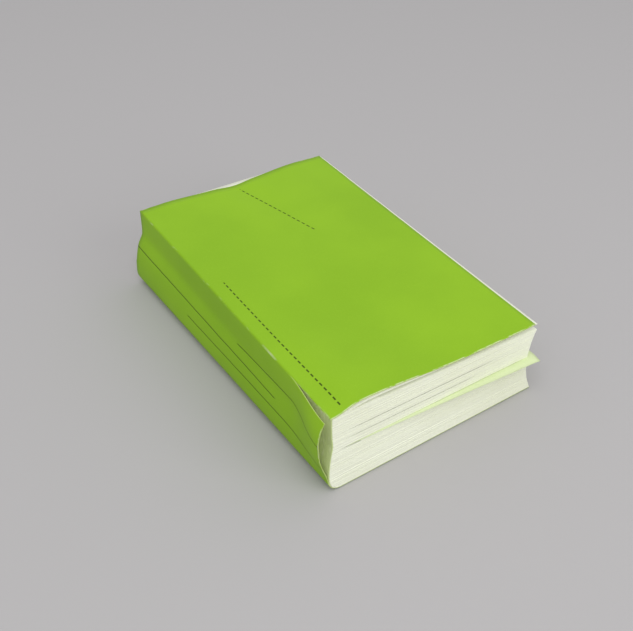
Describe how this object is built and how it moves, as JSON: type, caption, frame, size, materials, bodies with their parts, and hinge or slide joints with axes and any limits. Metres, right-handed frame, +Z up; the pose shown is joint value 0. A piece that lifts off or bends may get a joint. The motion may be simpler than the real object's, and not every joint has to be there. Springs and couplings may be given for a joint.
{
  "type": "paperback book",
  "caption": "Thick, well-read paperback book lying on its back cover, with a card cover that opens front and back, a torn spine joint and a loose leaf.",
  "frame": {"origin": "middle of the back cover's underside, on the surface that the book lies on", "axes": "+X from the spine to the fore edge, +Y along the spine from the tail to the head, +Z up through the leaves to the front cover"},
  "size_m": [0.1261, 0.1824, 0.0452],
  "materials": {
    "cover_card": "lime green laminated cover card, satin, creased and rubbed at the edges",
    "pages": "uncoated pale cream book paper, matt",
    "loose_leaf": "uncoated book paper, a little darker and greener than the block",
    "binding_glue": "pale hot-melt glue with torn paper fibres"
  },
  "bodies": {
    "book_block": {"page_block": "pages", "spine_glue": "binding_glue", "spine_cover": "cover_card", "loose_leaf": "loose_leaf"},
    "front_cover": {"front_cover": "cover_card"},
    "back_cover": {"back_cover": "cover_card"}
  },
  "joints": [
    {"name": "front_cover_hinge", "type": "hinge", "parent": "book_block", "child": "front_cover", "pos_m": [-0.0487, 0, 0.04423], "axis": [-0.0281, -0.9996, 0], "range_deg": [0, 175]},
    {"name": "back_cover_hinge", "type": "hinge", "parent": "book_block", "child": "back_cover", "pos_m": [-0.0492, 0, -0.00002], "axis": [0, 1, 0], "range_deg": [0, 180]}
  ]
}
